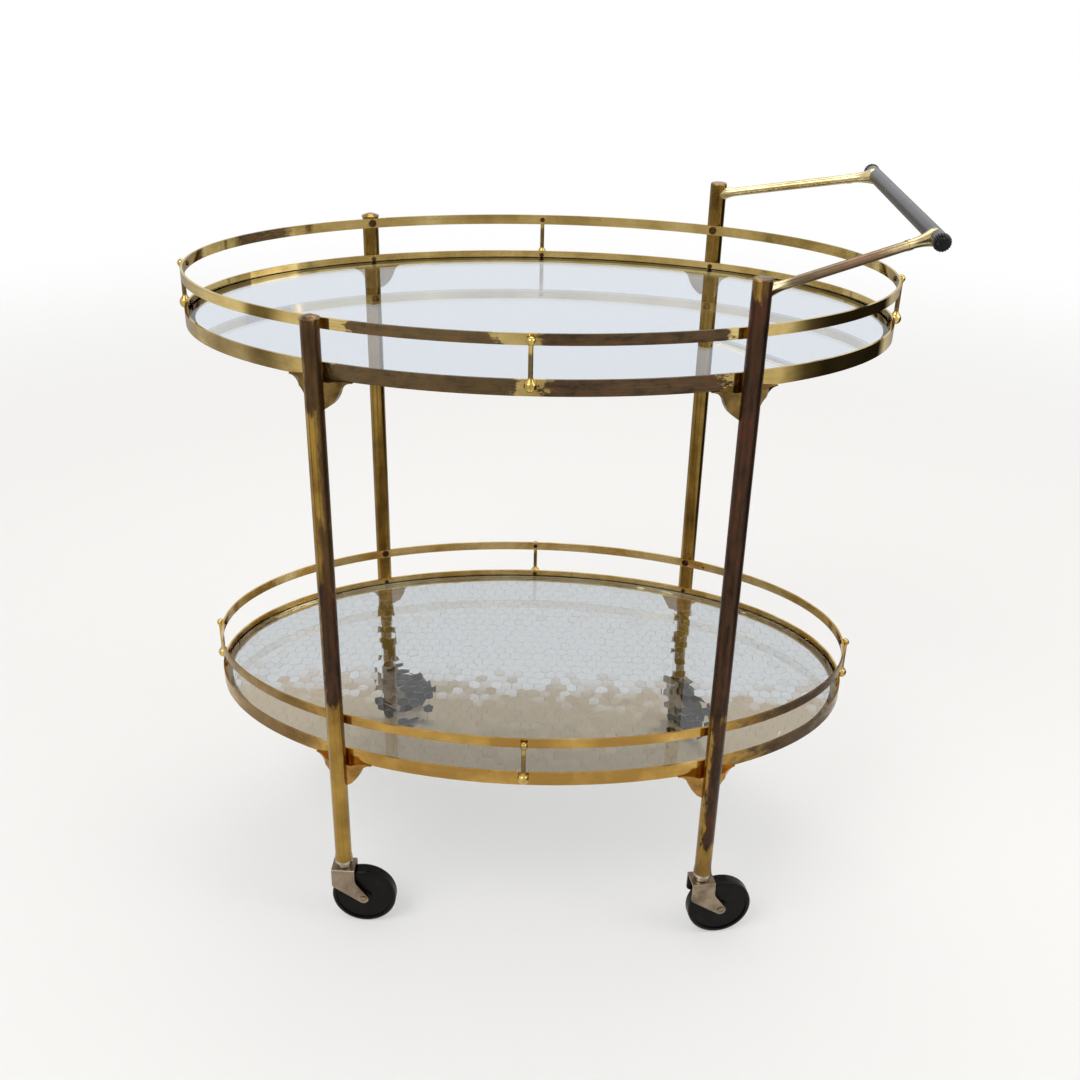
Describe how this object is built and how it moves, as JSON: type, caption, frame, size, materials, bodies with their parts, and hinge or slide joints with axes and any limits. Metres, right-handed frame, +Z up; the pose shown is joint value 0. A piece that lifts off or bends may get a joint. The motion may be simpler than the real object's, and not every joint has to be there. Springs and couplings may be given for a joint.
{
  "type": "bar cart",
  "caption": "Oval two-tier brass bar cart with gallery rails, glass shelves, a push handle with a black grip and swivel casters.",
  "frame": {"origin": "on the floor, under the middle of the oval shelves", "axes": "+Z up, +X towards the push handle, +Y towards the rear long side"},
  "size_m": [0.7832, 0.48, 0.8215],
  "materials": {
    "brass_tube": "aged polished brass tube with brown patina",
    "brass_band": "aged polished brass band with brown patina",
    "brass_casting": "polished cast and turned brass",
    "screw_steel": "browned slotted screw heads",
    "clear_glass": "clear float glass, polished edge",
    "hammered_glass": "clear glass with a hammered face",
    "black_gloss": "smooth black gloss",
    "bright_steel": "bright plated steel",
    "fork_steel": "dull champagne-plated pressed steel",
    "black_rubber": "hard black rubber"
  },
  "bodies": {
    "frame": {"leg_front_left": "brass_tube", "leg_front_right": "brass_tube", "leg_rear_left": "brass_tube", "leg_rear_right": "brass_tube", "leg_cap_front_left": "brass_tube", "leg_cap_front_right": "brass_tube", "leg_cap_rear_left": "brass_tube", "leg_cap_rear_right": "brass_tube", "upper_gallery_rail": "brass_band", "upper_shelf_rim": "brass_band", "upper_glass": "clear_glass", "upper_bracket_front_left": "brass_casting", "upper_bracket_front_right": "brass_casting", "upper_bracket_rear_left": "brass_casting", "upper_bracket_rear_right": "brass_casting", "upper_spindle_front": "brass_casting", "upper_spindle_rear": "brass_casting", "upper_spindle_left": "brass_casting", "upper_spindle_right": "brass_casting", "lower_gallery_rail": "brass_band", "lower_shelf_rim": "brass_band", "lower_glass": "hammered_glass", "lower_bracket_front_left": "brass_casting", "lower_bracket_front_right": "brass_casting", "lower_bracket_rear_left": "brass_casting", "lower_bracket_rear_right": "brass_casting", "lower_spindle_front": "brass_casting", "lower_spindle_rear": "brass_casting", "lower_spindle_left": "brass_casting", "lower_spindle_right": "brass_casting", "rail_screws": "screw_steel", "rim_screws": "screw_steel", "spindle_screws": "screw_steel", "handle_arm_front": "brass_tube", "handle_arm_rear": "brass_tube", "handle_bar": "black_gloss", "handle_end_cap_front": "black_gloss", "handle_end_cap_rear": "black_gloss", "caster_socket_front_left": "bright_steel", "caster_socket_front_right": "bright_steel", "caster_socket_rear_left": "bright_steel", "caster_socket_rear_right": "bright_steel"},
    "caster_front_left": {"caster_stem_front_left": "bright_steel", "caster_fork_front_left": "fork_steel", "caster_axle_front_left": "fork_steel"},
    "rolling_wheel_front_left": {"wheel_front_left": "black_rubber"},
    "caster_front_right": {"caster_stem_front_right": "bright_steel", "caster_fork_front_right": "fork_steel", "caster_axle_front_right": "fork_steel"},
    "rolling_wheel_front_right": {"wheel_front_right": "black_rubber"},
    "caster_rear_left": {"caster_stem_rear_left": "bright_steel", "caster_fork_rear_left": "fork_steel", "caster_axle_rear_left": "fork_steel"},
    "rolling_wheel_rear_left": {"wheel_rear_left": "black_rubber"},
    "caster_rear_right": {"caster_stem_rear_right": "bright_steel", "caster_fork_rear_right": "fork_steel", "caster_axle_rear_right": "fork_steel"},
    "rolling_wheel_rear_right": {"wheel_rear_right": "black_rubber"}
  },
  "joints": [
    {"name": "swivel_front_left", "type": "hinge", "parent": "frame", "child": "caster_front_left", "pos_m": [-0.20852, -0.20168, 0.079], "axis": [0, 0, 1], "continuous": true},
    {"name": "roll_front_left", "type": "hinge", "parent": "caster_front_left", "child": "rolling_wheel_front_left", "pos_m": [-0.18582, -0.20208, 0.0375], "axis": [0.0175, 0.9998, 0], "continuous": true},
    {"name": "swivel_front_right", "type": "hinge", "parent": "frame", "child": "caster_front_right", "pos_m": [0.20852, -0.20168, 0.079], "axis": [0, 0, 1], "continuous": true},
    {"name": "roll_front_right", "type": "hinge", "parent": "caster_front_right", "child": "rolling_wheel_front_right", "pos_m": [0.2308, -0.19735, 0.0375], "axis": [-0.1908, 0.9816, 0], "continuous": true},
    {"name": "swivel_rear_left", "type": "hinge", "parent": "frame", "child": "caster_rear_left", "pos_m": [-0.20852, 0.20168, 0.079], "axis": [0, 0, 1], "continuous": true},
    {"name": "roll_rear_left", "type": "hinge", "parent": "caster_rear_left", "child": "rolling_wheel_rear_left", "pos_m": [-0.18616, 0.20562, 0.0375], "axis": [-0.1736, 0.9848, 0], "continuous": true},
    {"name": "swivel_rear_right", "type": "hinge", "parent": "frame", "child": "caster_rear_right", "pos_m": [0.20852, 0.20168, 0.079], "axis": [0, 0, 1], "continuous": true},
    {"name": "roll_rear_right", "type": "hinge", "parent": "caster_rear_right", "child": "rolling_wheel_rear_right", "pos_m": [0.22311, 0.18429, 0.0375], "axis": [0.766, 0.6428, 0], "continuous": true}
  ]
}
